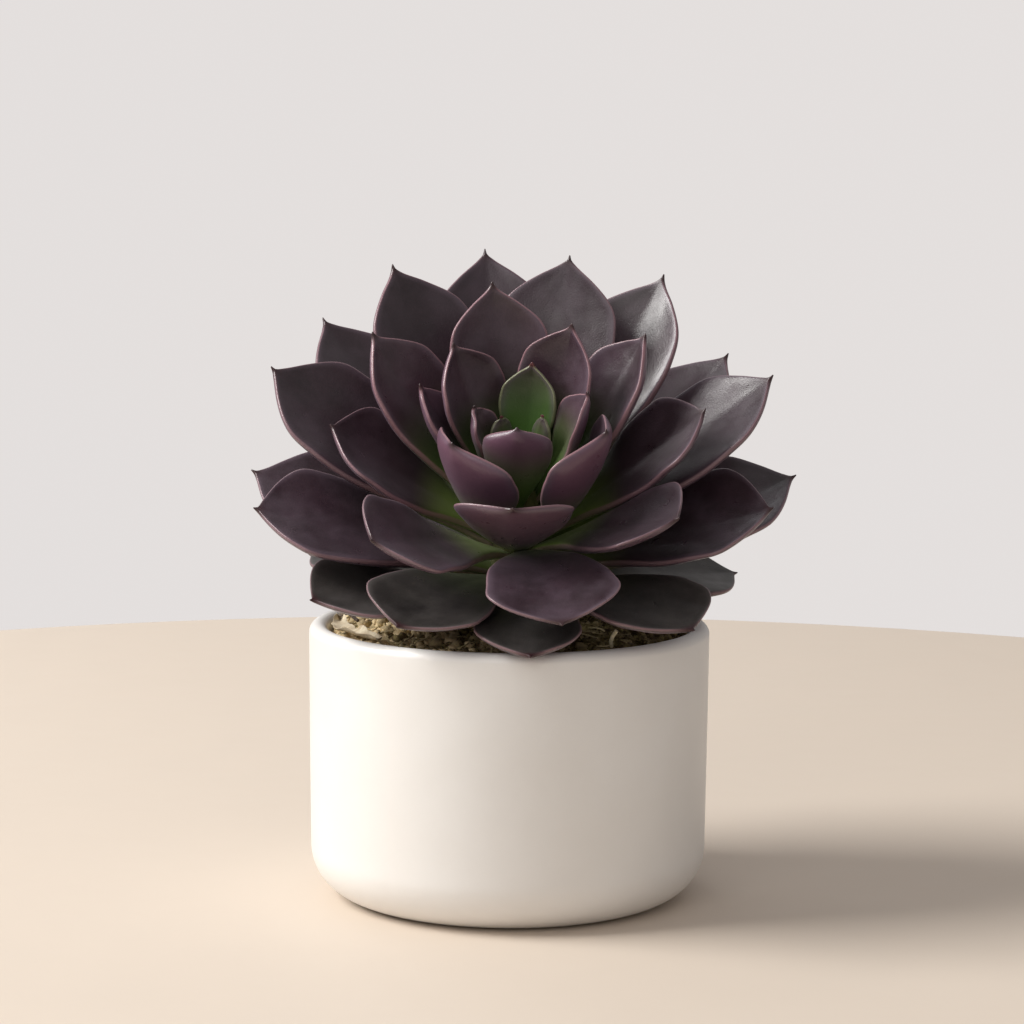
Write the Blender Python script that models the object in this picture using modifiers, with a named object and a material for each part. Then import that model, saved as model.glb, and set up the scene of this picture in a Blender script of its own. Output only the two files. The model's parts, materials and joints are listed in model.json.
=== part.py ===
"""A potted succulent, built as it grew: a dark rosette on a leaning stem, in gritty soil, in a white pot.

Blender 4.5, metres, +Z up. The origin is the centre of the pot's foot, on the surface that the pot stands on,
and the plant faces -Y. Run it with: blender --background --python part.py
"""

import math
from dataclasses import dataclass

import bmesh
import bpy
import numpy as np

MM = 0.001

# --- Pot -------------------------------------------------------------------------------------------------
POT_RADIUS = 45.0 * MM
POT_FOOT_RADIUS = 44.5 * MM
POT_HEIGHT = 61.7 * MM
POT_WALL = 4.4 * MM
POT_CORNER = 11.5 * MM
POT_FLOOR = 6.0 * MM
POT_STEPS = 48

# --- Soil: it fills the pot and mounds up round the stem, highest on the plant's left -----------------------
GAP = 0.3 * MM
SOIL_MOUND = ((0.0, 63.2), (12.0, 63.0), (22.0, 62.2), (30.0, 60.9), (36.0, 59.6))
SOIL_EDGE = 58.6 * MM
CLUMPS = (
    ((-22.0, -8.0, 60.6), (9.5, 8.5, 4.2)),
    ((-25.0, 9.0, 60.8), (8.5, 9.0, 4.4)),
    ((-9.0, 20.0, 60.4), (10.0, 8.0, 4.0)),
    ((24.0, 8.0, 60.4), (8.0, 9.0, 3.6)),
)

# --- Stem: an arc in the plane x = STEM_X, listed from its growing tip downwards ----------------------------
STEM_TIP = np.array([1.8, -11.0, 96.0]) * MM
TOP_LEAN = 32.0
FOOT_LEAN = 5.0
LEAN_STARTS = 6.0 * MM
LEAN_ENDS = 40.0 * MM
STEM_TIP_RADIUS = 1.6 * MM
STEM_RADIUS = 6.0 * MM
STEM_TAPER = 14.0 * MM
STEM_LENGTH = 44.0 * MM

# --- Leaf: half-width and thickness along its length, as shares of the largest ----------------------------
STATIONS = (0.0, 0.10, 0.24, 0.40, 0.56, 0.70, 0.82, 0.91, 0.965)
OUTLINE_AT = (0.0, 0.10, 0.24, 0.40, 0.56, 0.70, 0.82, 0.91, 0.965, 1.0)
POINTED = (0.20, 0.27, 0.46, 0.74, 0.95, 1.0, 0.84, 0.50, 0.16, 0.0)
BLUNT = (0.20, 0.24, 0.38, 0.62, 0.86, 0.98, 1.0, 0.80, 0.40, 0.0)
THICKNESS = (0.55, 0.72, 0.92, 1.0, 0.94, 0.82, 0.64, 0.46, 0.28, 0.0)
ACROSS = (-1.0, -0.55, 0.0, 0.55, 1.0)
UPPER_SHARE = 0.35
LEAF_GAP = 0.5 * MM


@dataclass(frozen=True)
class Leaf:
    """One leaf: turn about the stem (0 front, 90 the plant's right), lift above the stem's normal plane."""

    name: str
    below: float
    turn: float
    lift: float
    length: float
    width: float
    thick: float
    curl: float
    cup: float
    roll: float
    blunt: float


# --- Litter on the soil: a papery husk against the left inner wall, and two thin dry stalks -----------------
HUSK_PARTS = 10
HUSK_START = 178.0
HUSK_END = 222.0
HUSK_RADIUS = 38.0 * MM
HUSK_WIDTH = 4.6 * MM
HUSK_HEIGHT = 61.4 * MM
HUSK_CURL = 1.6 * MM
HUSK_SKIN = 0.6 * MM
DARK_STALK = (0.06, 0.045, 0.035)
PALE_STALK = (0.62, 0.58, 0.42)
STALKS = {
    "dark_stalk": (((-33.5, -10.0, 63.2), (-36.0, -6.0, 64.4), (-39.0, -3.0, 65.2), (-42.0, -1.5, 66.8)),
                   0.4, DARK_STALK),
    "pale_stalk": (((22.0, -31.5, 61.4), (21.8, -32.4, 62.6), (22.2, -33.2, 64.0), (23.0, -33.6, 65.2)),
                   0.45, PALE_STALK),
}

# --- Colours --------------------------------------------------------------------------------------------
POT_COLOUR = (0.80, 0.79, 0.76)
SOIL_COLOUR = (0.20, 0.15, 0.08)
STEM_COLOUR = (0.10, 0.13, 0.04)
HUSK_COLOUR = (0.62, 0.52, 0.36)
LEAF_COLOURS = {
    "base": (0.028, 0.024, 0.026),
    "outer": (0.030, 0.023, 0.028),
    "middle": (0.032, 0.022, 0.028),
    "upper": (0.036, 0.022, 0.030),
    "inner": (0.045, 0.026, 0.034),
    "heart": (0.060, 0.090, 0.040),
}
LEAF_ROUGHNESS = 0.5

# --- Whorls, from the soil up to the heart ---------------------------------------------------------------
# One row per leaf: below the stem's tip, turn, lift, length, width, curl, cup, roll, blunt
WHORLS = {
    "base": (
        (30, 3, 8, 46, 23, -24, 20, 0, 0.7),
        (25, -29, 11, 47, 27, -22, 20, -8, 0.8),
        (30, -55, 12, 49, 26, -16, 20, -10, 0.7),
        (26, 42, 8, 50, 28, -22, 20, 0, 0.8),
        (31, -120, -1, 50, 26, -10, 20, 0, 0.2),
        (31, 118, -5, 52, 26, -10, 20, 10, 0.2),
        (32, 161, -13, 50, 26, -10, 20, 0, 0.3),
        (33, -156, -11, 50, 26, -10, 20, 0, 0.3),
    ),
    "outer": (
        (18, 10, 16, 49, 28, -44, 20, 0, 1.0),
        (24, -78, 20, 56, 30, -6, 25, -15, 0.6),
        (27, -103, 19, 59, 28, 0, 20, -20, 0.1),
        (24, 79, 21, 54, 30, -6, 25, 15, 0.6),
        (27, 106, 16, 62, 30, 0, 20, 15, 0.1),
        (28, -149, 8, 56, 26, 0, 20, 0, 0.2),
        (28, 152, 8, 56, 26, 0, 20, 0, 0.2),
        (26, 180, 13, 56, 24, 0, 20, 0, 0.2),
        (23, 178, 34, 58, 25, 4, 20, 0, 0.2),
        (25, -147, 24, 58, 24, 4, 20, 0, 0.2),
        (25, 148, 23, 58, 24, 4, 20, 0, 0.2),
    ),
    "middle": (
        (18, -40, 27, 47, 25, -6, 25, -20, 1.0),
        (17, 50, 30, 44, 24, -6, 25, 12, 1.0),
        (18, -106, 33, 62, 29, 10, 30, -14, 0.2),
        (19, 104, 33, 63, 28, 10, 20, 6, 0.2),
        (22, -134, 33, 69, 28, 10, 25, 0, 0.1),
        (22, 131, 27, 66, 26, 10, 25, 0, 0.1),
        (20, -171, 47, 68, 28, 10, 25, 0, 0.1),
        (14, 165, 49, 59, 28, 10, 25, 0, 0.1),
    ),
    "upper": (
        (15, -2, 42, 40, 26, 10, 30, 0, 0.8),
        (15, -90, 36, 44, 25, 10, 30, -10, 0.6),
        (15, 92, 40, 46, 24, 10, 30, 10, 0.6),
        (15, -142, 48, 62, 27, 10, 30, 0, 0.0),
        (17, 142, 42, 65, 27, 10, 30, 0, 0.0),
    ),
    "inner": (
        (12, -116, 50, 49, 22, 15, 40, -12, 0.0),
        (11, 120, 53, 46, 20, 15, 40, 0, 0.0),
        (12, -168, 60, 50, 24, 15, 40, 0, 0.0),
        (13, -41, 61, 35, 27, 20, 50, -8, 0.3),
        (13, 52, 60, 38, 27, 20, 50, 10, 0.3),
        (7, -135, 62, 36, 19, 15, 45, 0, 0.0),
        (8, 146, 65, 40, 20, 15, 45, 0, 0.0),
        (9, -110, 55, 33, 12, 15, 45, 0, 0.0),
    ),
    "heart": (
        (5, -4, 83, 23, 17, 25, 50, 0, 0.2),
        (6, 102, 66, 29, 13, 15, 50, 0, 0.0),
        (4, 168, 66, 27, 14, 20, 50, 0, 0.0),
        (4, -115, 69, 21, 10, 15, 50, 0, 0.0),
        (1, 130, 72, 15, 6, 15, 50, 0, 0.0),
        (2, -142, 76, 15, 7, 15, 50, 0, 0.0),
    ),
}


def lean_at(below):
    """The stem's lean from the vertical, in radians, at a distance below its growing tip."""
    share = min(max((below - LEAN_STARTS) / (LEAN_ENDS - LEAN_STARTS), 0.0), 1.0)
    return math.radians(TOP_LEAN + (FOOT_LEAN - TOP_LEAN) * share)


def stem_axis(below):
    lean = lean_at(below)
    return np.array([0.0, -math.sin(lean), math.cos(lean)])


def stem_point(below, step=0.5 * MM):
    count = max(1, round(below / step))
    point = STEM_TIP.copy()
    for index in range(count):
        point = point - stem_axis((index + 0.5) * below / count) * below / count
    return point


def stem_radius(below):
    share = min(max(below / STEM_TAPER, 0.0), 1.0)
    return STEM_TIP_RADIUS + (STEM_RADIUS - STEM_TIP_RADIUS) * share**0.7


def leaf_spine(leaf, stations):
    """Points, directions, side and normal vectors of a leaf's midline at the given shares of its length."""
    axis = stem_axis(leaf.below)
    lean = lean_at(leaf.below)
    front = np.array([0.0, -math.cos(lean), -math.sin(lean)])
    turn = math.radians(leaf.turn)
    outwards = math.sin(turn) * np.array([1.0, 0.0, 0.0]) + math.cos(turn) * front
    aside = np.cross(axis, outwards)
    start = stem_point(leaf.below) + outwards * (stem_radius(leaf.below) + LEAF_GAP)
    fine = np.linspace(0.0, 1.0, 81)
    rise = np.radians(leaf.lift + leaf.curl * (fine - 0.4) + 10.0 * np.clip((fine - 0.85) / 0.15, 0, 1))
    along = np.cos(rise)[:, None] * outwards + np.sin(rise)[:, None] * axis
    steps = np.diff(fine)[:, None] * (along[1:] + along[:-1]) / 2 * leaf.length
    path = np.vstack([start, start + np.cumsum(steps, axis=0)])
    at = np.asarray(stations)
    points = np.stack([np.interp(at, fine, path[:, k]) for k in range(3)], axis=1)
    ahead = np.stack([np.interp(at, fine, along[:, k]) for k in range(3)], axis=1)
    ahead = ahead / np.linalg.norm(ahead, axis=1)[:, None]
    side = np.tile(aside, (len(at), 1))
    up = np.cross(ahead, side)
    roll = np.radians(leaf.roll) * np.clip(at / 0.5, 0, 1)
    side, up = (np.cos(roll)[:, None] * side + np.sin(roll)[:, None] * up,
                np.cos(roll)[:, None] * up - np.sin(roll)[:, None] * side)
    return points, ahead, side, up


def leaf_rings(leaf, stations=STATIONS, across=ACROSS):
    """Rings of points round the leaf from its foot: the upper face, then the underside back."""
    points, _, side, up = leaf_spine(leaf, stations)
    outline = (1 - leaf.blunt) * np.array(POINTED) + leaf.blunt * np.array(BLUNT)
    half = leaf.width / 2 * np.interp(stations, OUTLINE_AT, outline)
    thick = leaf.thick * np.interp(stations, OUTLINE_AT, THICKNESS)
    bend = math.radians(max(leaf.cup, 0.5))
    rings = []
    for k in range(len(stations)):
        v = np.array(list(across) + list(across[-2:0:-1]))
        over = np.array([1] * len(across) + [0] * (len(across) - 2))
        local = bend * min(1.0, 0.25 + 1.2 * stations[k])
        x = half[k] * np.sin(local * v) / local
        y = half[k] * (1 - np.cos(local * v)) / local
        swell = thick[k] * np.sqrt(np.clip(1 - v**2, 0, 1))
        offset = np.where(over == 1, UPPER_SHARE * swell, -(1 - UPPER_SHARE) * swell)
        nx, ny = -np.sin(local * v), np.cos(local * v)
        ring = points[k] + np.outer(x + offset * nx, side[k]) + np.outer(y + offset * ny, up[k])
        rings.append(ring)
    tip = leaf_spine(leaf, (1.0,))[0][0]
    return np.array(rings), tip


def all_leaves():
    leaves = []
    for whorl, rows in WHORLS.items():
        for number, row in enumerate(rows, start=1):
            below, turn, lift, length, width, curl, cup, roll, blunt = row
            thick = 0.06 * length + 1.2
            leaves.append(Leaf(f"{whorl}_leaf_{number}", below * MM, turn, lift, length * MM, width * MM,
                               thick * MM, curl, cup, roll, blunt))
    return leaves


def clear_scene():
    for item in list(bpy.data.objects):
        bpy.data.objects.remove(item, do_unlink=True)


def new_collection(name):
    group = bpy.data.collections.new(name)
    bpy.context.scene.collection.children.link(group)
    return group


def new_material(name, colour, roughness):
    material = bpy.data.materials.new(name)
    material.use_nodes = True
    shader = material.node_tree.nodes["Principled BSDF"]
    shader.inputs["Base Color"].default_value = (*colour, 1.0)
    shader.inputs["Roughness"].default_value = roughness
    shader.inputs["Metallic"].default_value = 0.0
    material.diffuse_color = (*colour, 1.0)
    return material


def add_object(name, data, group, colour=None, roughness=0.6):
    item = bpy.data.objects.new(name, data)
    group.objects.link(item)
    if colour is not None:
        data.materials.append(new_material(name, colour, roughness))
    return item


def turned(name, profile, group, colour, roughness):
    """A closed solid of revolution; the profile starts and ends on the axis and runs down its outer side."""
    mesh = bpy.data.meshes.new(name)
    corners = [(radius, 0.0, height) for radius, height in profile]
    mesh.from_pydata(corners, [(k, k + 1) for k in range(len(corners) - 1)], [])
    item = add_object(name, mesh, group, colour, roughness)
    screw = item.modifiers.new("Turn", "SCREW")
    screw.steps = POT_STEPS
    screw.render_steps = POT_STEPS
    screw.use_merge_vertices = True
    screw.merge_threshold = 0.01 * MM
    screw.use_smooth_shade = True
    return item


def arc(centre, radius, start, end, count):
    """Points on an arc in the profile plane, from one angle to another in degrees."""
    angles = [math.radians(start + (end - start) * k / count) for k in range(count + 1)]
    return [(centre[0] + radius * math.cos(a), centre[1] + radius * math.sin(a)) for a in angles]


def pot_profile():
    lip = POT_WALL / 2
    inner = POT_RADIUS - POT_WALL
    profile = [(0.0, POT_FLOOR)]
    profile += arc((inner - POT_FLOOR, 2 * POT_FLOOR), POT_FLOOR, -90, 0, 4)
    profile += arc((POT_RADIUS - lip, POT_HEIGHT - lip), lip, 180, 0, 8)
    profile += arc((POT_FOOT_RADIUS - POT_CORNER, POT_CORNER), POT_CORNER, 0, -90, 7)
    profile.append((0.0, 0.0))
    return profile


def soil_profile():
    edge = POT_RADIUS - POT_WALL - GAP
    profile = [(radius * MM, height * MM) for radius, height in SOIL_MOUND]
    profile.append((edge, SOIL_EDGE))
    profile += arc((edge - POT_FLOOR, 2 * POT_FLOOR + GAP), POT_FLOOR, 0, -90, 4)
    profile.append((0.0, POT_FLOOR + GAP))
    return profile


def tube(name, points, radii, group, colour=None, roughness=0.6, resolution=2):
    """A closed tube through the points, turned from a curve into a mesh with its caps welded."""
    curve = bpy.data.curves.new(name, "CURVE")
    curve.dimensions = "3D"
    curve.bevel_depth = 1.0
    curve.bevel_resolution = resolution
    curve.use_fill_caps = True
    spline = curve.splines.new("POLY")
    spline.points.add(len(points) - 1)
    for slot, point, radius in zip(spline.points, points, radii):
        slot.co = (*point, 1.0)
        slot.radius = radius
    guide = bpy.data.objects.new(name + "_guide", curve)
    group.objects.link(guide)
    bpy.context.view_layer.update()
    evaluated = guide.evaluated_get(bpy.context.evaluated_depsgraph_get())
    mesh = bpy.data.meshes.new_from_object(evaluated)
    mesh.name = name
    shape = bmesh.new()
    shape.from_mesh(mesh)
    bmesh.ops.remove_doubles(shape, verts=shape.verts, dist=0.005 * MM)
    bmesh.ops.recalc_face_normals(shape, faces=shape.faces)
    shape.to_mesh(mesh)
    shape.free()
    bpy.data.objects.remove(guide, do_unlink=True)
    mesh.materials.clear()
    mesh.shade_smooth()
    return add_object(name, mesh, group, colour, roughness)


def boolean(item, other, operation):
    cut = item.modifiers.new(operation.title(), "BOOLEAN")
    cut.operation = operation
    cut.solver = "EXACT"
    cut.object = other


def as_cutter(item):
    item.hide_render = True
    item.display_type = "WIRE"


def clump(name, centre, size, group):
    mesh = bpy.data.meshes.new(name)
    shape = bmesh.new()
    bmesh.ops.create_uvsphere(shape, u_segments=14, v_segments=8, radius=MM)
    bmesh.ops.scale(shape, vec=size, verts=shape.verts)
    bmesh.ops.translate(shape, vec=[value * MM for value in centre], verts=shape.verts)
    shape.to_mesh(mesh)
    shape.free()
    item = add_object(name, mesh, group)
    as_cutter(item)
    return item


def leaf_object(leaf, group):
    """The leaf as one closed loft: rings from its foot to its tip, a cap on the foot and a fan at the tip."""
    rings, tip = leaf_rings(leaf)
    count = rings.shape[1]
    shape = bmesh.new()
    loops = [[shape.verts.new(point) for point in ring] for ring in rings]
    point = shape.verts.new(tip)
    for lower, upper in zip(loops, loops[1:]):
        for k in range(count):
            nearby = (k + 1) % count
            shape.faces.new((lower[k], lower[nearby], upper[nearby], upper[k]))
    for k in range(count):
        shape.faces.new((loops[-1][k], loops[-1][(k + 1) % count], point))
    shape.faces.new(list(reversed(loops[0])))
    bmesh.ops.recalc_face_normals(shape, faces=shape.faces)
    mesh = bpy.data.meshes.new(leaf.name)
    shape.to_mesh(mesh)
    shape.free()
    mesh.shade_smooth()
    whorl = leaf.name.split("_leaf_")[0]
    return add_object(leaf.name, mesh, group, LEAF_COLOURS[whorl], LEAF_ROUGHNESS)


def husk_object(group):
    """A dry husk, a bent strip of papery leaf between the soil and the pot's inner wall."""
    mesh = bpy.data.meshes.new("dry_husk")
    shape = bmesh.new()
    bmesh.ops.create_grid(shape, x_segments=HUSK_PARTS, y_segments=2, size=0.5)
    for vert in shape.verts:
        along = vert.co.x + 0.5
        across = vert.co.y
        narrow = 1.0 - 0.75 * (2 * along - 1) ** 2
        angle = math.radians(HUSK_START + (HUSK_END - HUSK_START) * along)
        radius = HUSK_RADIUS + HUSK_WIDTH * narrow * across * 0.45
        height = HUSK_HEIGHT + HUSK_CURL * (1 - along) ** 3 - HUSK_WIDTH * narrow * across * 0.6
        vert.co = (radius * math.cos(angle), radius * math.sin(angle), height)
    shape.to_mesh(mesh)
    shape.free()
    mesh.shade_smooth()
    item = add_object("dry_husk", mesh, group, HUSK_COLOUR, 0.8)
    skin = item.modifiers.new("Skin", "SOLIDIFY")
    skin.thickness = HUSK_SKIN
    skin.offset = 0.0
    return item


def build():
    clear_scene()
    plant = new_collection("potted_succulent")
    cutters = new_collection("cutters")
    turned("pot", pot_profile(), plant, POT_COLOUR, 0.35)
    soil = turned("soil", soil_profile(), plant, SOIL_COLOUR, 0.95)
    for number, (centre, size) in enumerate(CLUMPS, start=1):
        boolean(soil, clump(f"clump_{number}", centre, size, cutters), "UNION")
    depths = np.linspace(STEM_TIP_RADIUS, STEM_LENGTH, 16)
    points = [stem_point(depth) for depth in depths]
    radii = [stem_radius(depth) for depth in depths]
    tube("stem", points, radii, plant, STEM_COLOUR, 0.7, resolution=4)
    socket_points = points + [points[-1] - stem_axis(STEM_LENGTH) * GAP]
    socket = tube("stem_socket", socket_points, [r + GAP for r in radii + radii[-1:]], cutters, resolution=4)
    as_cutter(socket)
    boolean(soil, socket, "DIFFERENCE")
    for leaf in all_leaves():
        leaf_object(leaf, plant)
    husk_object(plant)
    for name, (route, radius, colour) in STALKS.items():
        tube(name, np.array(route) * MM, [radius * MM] * len(route), plant, colour, 0.8)


if __name__ == "__main__":
    build()
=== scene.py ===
"""Looks of a potted succulent: a dark rosette on a short leaning stem, gritty soil, and a white ceramic pot.

Every leaf is read back from its body in the fixed frame, as a midline with side and upward directions, half-width,
cup and thickness, and is grown again as one smooth fleshy surface. Pot and soil follow their bodies the same way.
"""

import json
import logging
import math
from dataclasses import dataclass, field, replace
from enum import Enum

import bmesh
import bpy
import numpy as np
from mathutils import Matrix, Vector

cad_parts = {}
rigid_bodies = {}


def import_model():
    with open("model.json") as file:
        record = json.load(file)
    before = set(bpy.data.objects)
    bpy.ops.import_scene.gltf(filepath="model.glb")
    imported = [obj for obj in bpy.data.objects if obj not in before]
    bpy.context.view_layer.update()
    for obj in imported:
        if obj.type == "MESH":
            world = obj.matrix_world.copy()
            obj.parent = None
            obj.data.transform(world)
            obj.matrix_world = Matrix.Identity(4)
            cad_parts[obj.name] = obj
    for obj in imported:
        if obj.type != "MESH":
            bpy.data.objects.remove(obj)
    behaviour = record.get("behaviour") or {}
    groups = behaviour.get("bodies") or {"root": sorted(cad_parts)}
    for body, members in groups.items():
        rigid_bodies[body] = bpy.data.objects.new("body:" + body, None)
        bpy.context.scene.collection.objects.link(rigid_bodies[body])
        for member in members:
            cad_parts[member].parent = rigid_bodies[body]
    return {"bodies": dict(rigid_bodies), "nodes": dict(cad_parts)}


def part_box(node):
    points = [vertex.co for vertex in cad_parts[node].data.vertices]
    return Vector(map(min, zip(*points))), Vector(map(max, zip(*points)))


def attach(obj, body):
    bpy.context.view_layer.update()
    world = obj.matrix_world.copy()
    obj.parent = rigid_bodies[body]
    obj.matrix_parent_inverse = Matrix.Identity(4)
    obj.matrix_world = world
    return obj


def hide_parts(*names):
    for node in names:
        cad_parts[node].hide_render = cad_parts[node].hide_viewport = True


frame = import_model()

MM = 0.001
BODY = "root"
log = logging.getLogger("succulent")

Colour = tuple[float, float, float]
Array = np.ndarray


class Slot(Enum):
    """The finish slots of the record."""

    POT = "pot_ceramic"
    SOIL = "soil"
    STEM = "stem"
    DARK_LEAF = "dark_leaf"
    INNER_LEAF = "inner_leaf"
    HEART_LEAF = "heart_leaf"
    HUSK = "dry_husk"
    DARK_STALK = "dark_stalk"
    PALE_STALK = "pale_stalk"


# --- Mesh making -----------------------------------------------------------------------------------------


@dataclass
class Surface:
    """Points, faces (quads and triangles apart) and named point values of one closed surface."""

    points: Array
    quads: Array
    triangles: Array
    values: dict[str, Array] = field(default_factory=dict)

    def outwards(self) -> "Surface":
        """Return the surface with its faces pointing out, told by the sign of the volume it closes."""
        corners = np.vstack([self.triangles, self.quads[:, [0, 1, 2]], self.quads[:, [0, 2, 3]]])
        a, b, c = (self.points[corners[:, k]] for k in range(3))
        if np.einsum("ij,ij->i", a, np.cross(b, c)).sum() < 0:
            self.quads = self.quads[:, ::-1]
            self.triangles = self.triangles[:, ::-1]
        return self


def closed_tube(rings: Array, first: Array, last: Array) -> Surface:
    """Join rings of points into a tube, each ring to the next, and close both ends with a fan to a pole.

    Args:
        rings: Points, shaped (rings, points round, 3).
        first: Pole beyond the first ring.
        last: Pole beyond the last ring.

    Returns:
        The closed surface, with the two poles as its last two points.
    """
    count, around = rings.shape[:2]
    row, col = np.meshgrid(np.arange(count - 1), np.arange(around), indexing="ij")
    after = (col + 1) % around
    quads = np.stack([row * around + col, row * around + after, (row + 1) * around + after,
                      (row + 1) * around + col], axis=-1).reshape(-1, 4)
    step = np.arange(around)
    beyond = (step + 1) % around
    start = np.stack([np.full(around, count * around), beyond, step], axis=-1)
    end = np.stack([np.full(around, count * around + 1), (count - 1) * around + step,
                    (count - 1) * around + beyond], axis=-1)
    points = np.vstack([rings.reshape(-1, 3), first, last])
    return Surface(points, quads, np.vstack([start, end])).outwards()


def repeated(points: Array, quads: Array, values: dict[str, Array]) -> Surface:
    """Lay many like closed shapes into one surface.

    Args:
        points: Points of each copy, shaped (copies, points, 3).
        quads: Faces of one copy.
        values: One number per copy for each named value.

    Returns:
        The surface that holds all copies.
    """
    copies, each = points.shape[:2]
    faces = (quads[None] + np.arange(copies)[:, None, None] * each).reshape(-1, 4)
    spread = {name: np.repeat(numbers, each) for name, numbers in values.items()}
    return Surface(points.reshape(-1, 3), faces, np.zeros((0, 3), int), spread)


def make_piece(name: str, surface: Surface, material: bpy.types.Material) -> bpy.types.Object:
    """Put a surface into a mesh object that rides on the frame.

    Args:
        name: Name of the piece.
        surface: Its points, faces and point values.
        material: Its material.

    Returns:
        The finished piece, with its object at the origin.
    """
    faces = surface.quads.tolist() + surface.triangles.tolist()
    mesh = bpy.data.meshes.new(name)
    mesh.from_pydata(surface.points.tolist(), [], faces)
    for label, numbers in surface.values.items():
        layer = mesh.attributes.new(label, "FLOAT", "POINT")
        layer.data.foreach_set("value", np.asarray(numbers, np.float32))
    mesh.polygons.foreach_set("use_smooth", np.ones(len(mesh.polygons), bool))
    mesh.materials.append(material)
    mesh.update()
    piece = bpy.data.objects.new(name, mesh)
    bpy.context.scene.collection.objects.link(piece)
    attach(piece, BODY)
    log.info("%s: %d faces", name, len(faces))
    return piece


def merged(node: str) -> tuple[Array, list[list[int]]]:
    """Merge the doubles of a copy of a frame node's mesh.

    Args:
        node: Name of the frame node.

    Returns:
        Its points, and for each point the points it shares an edge with.
    """
    copy = bmesh.new()
    copy.from_mesh(frame["nodes"][node].data)
    bmesh.ops.remove_doubles(copy, verts=copy.verts, dist=0.002 * MM)
    copy.verts.index_update()
    points = np.array([vert.co for vert in copy.verts], float)
    near = [[edge.other_vert(vert).index for edge in vert.link_edges] for vert in copy.verts]
    copy.free()
    return points, near


def unit(vectors: Array) -> Array:
    """Scale vectors to length one."""
    return vectors / np.maximum(np.linalg.norm(vectors, axis=-1, keepdims=True), 1e-12)


def smooth(low: float, high: float, x: Array) -> Array:
    """A soft step: 0 below low, 1 above high, three squares less two cubes between."""
    t = np.clip((x - low) / (high - low), 0.0, 1.0)
    return t * t * (3.0 - 2.0 * t)


def curve_through(knots: Array, values: Array, at: Array, even: bool = False) -> Array:
    """Carry a smooth cubic through values at knots, with each knot's slope the weighted mean of its neighbours'.

    Args:
        knots: Rising parameters of the known values.
        values: The known values, one row per knot.
        at: Parameters to work out.
        even: Whether to flatten the slope at peaks, so the curve never passes beyond its knots.

    Returns:
        The values at the wanted parameters.
    """
    wide = np.atleast_2d(values.T).T.astype(float)
    gap = np.diff(knots)[:, None]
    rise = np.diff(wide, axis=0) / gap
    slope = np.vstack([rise[:1], (rise[:-1] * gap[1:] + rise[1:] * gap[:-1]) / (gap[1:] + gap[:-1]), rise[-1:]])
    if even:
        mean = 2 * rise[:-1] * rise[1:] / np.where(rise[:-1] + rise[1:] == 0, 1, rise[:-1] + rise[1:])
        slope[1:-1] = np.where(rise[:-1] * rise[1:] > 0, mean, 0.0)
    k = np.clip(np.searchsorted(knots, at, side="right") - 1, 0, len(knots) - 2)
    h = gap[k]
    t = (at[:, None] - knots[k][:, None]) / h
    out = ((2 * t**3 - 3 * t**2 + 1) * wide[k] + (t**3 - 2 * t**2 + t) * h * slope[k]
           + (3 * t**2 - 2 * t**3) * wide[k + 1] + (t**3 - t**2) * h * slope[k + 1])
    return out if values.ndim > 1 else out[:, 0]


def lattice(points: Array, seed: int) -> Array:
    """Smooth random values from -1 to 1: a whole-number hash at each lattice corner, softly blended between."""
    base = np.floor(points).astype(np.int64)
    part = points - base
    part = part * part * (3.0 - 2.0 * part)
    total = np.zeros(len(points))
    for corner in range(8):
        bits = np.array([corner & 1, (corner >> 1) & 1, (corner >> 2) & 1])
        cell = base + bits
        mixed = (cell[:, 0] * 73856093) ^ (cell[:, 1] * 19349663) ^ (cell[:, 2] * 83492791) ^ (seed * 2654435761)
        mixed = ((mixed ^ (mixed >> 13)) * 1274126177) & 0x7FFFFFFF
        share = np.prod(np.where(bits == 1, part, 1.0 - part), axis=1)
        total += share * ((mixed ^ (mixed >> 16)) % 65536 / 32767.5 - 1.0)
    return total


def rugged(points: Array, size: float, layers: int, seed: int) -> Array:
    """Layered smooth random values: each layer has half the size and half the height of the one before."""
    total = np.zeros(len(points))
    for layer in range(layers):
        total += lattice(points / size * 2.0**layer, seed + layer) * 0.5**layer
    return total


# --- Materials -------------------------------------------------------------------------------------------


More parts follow.
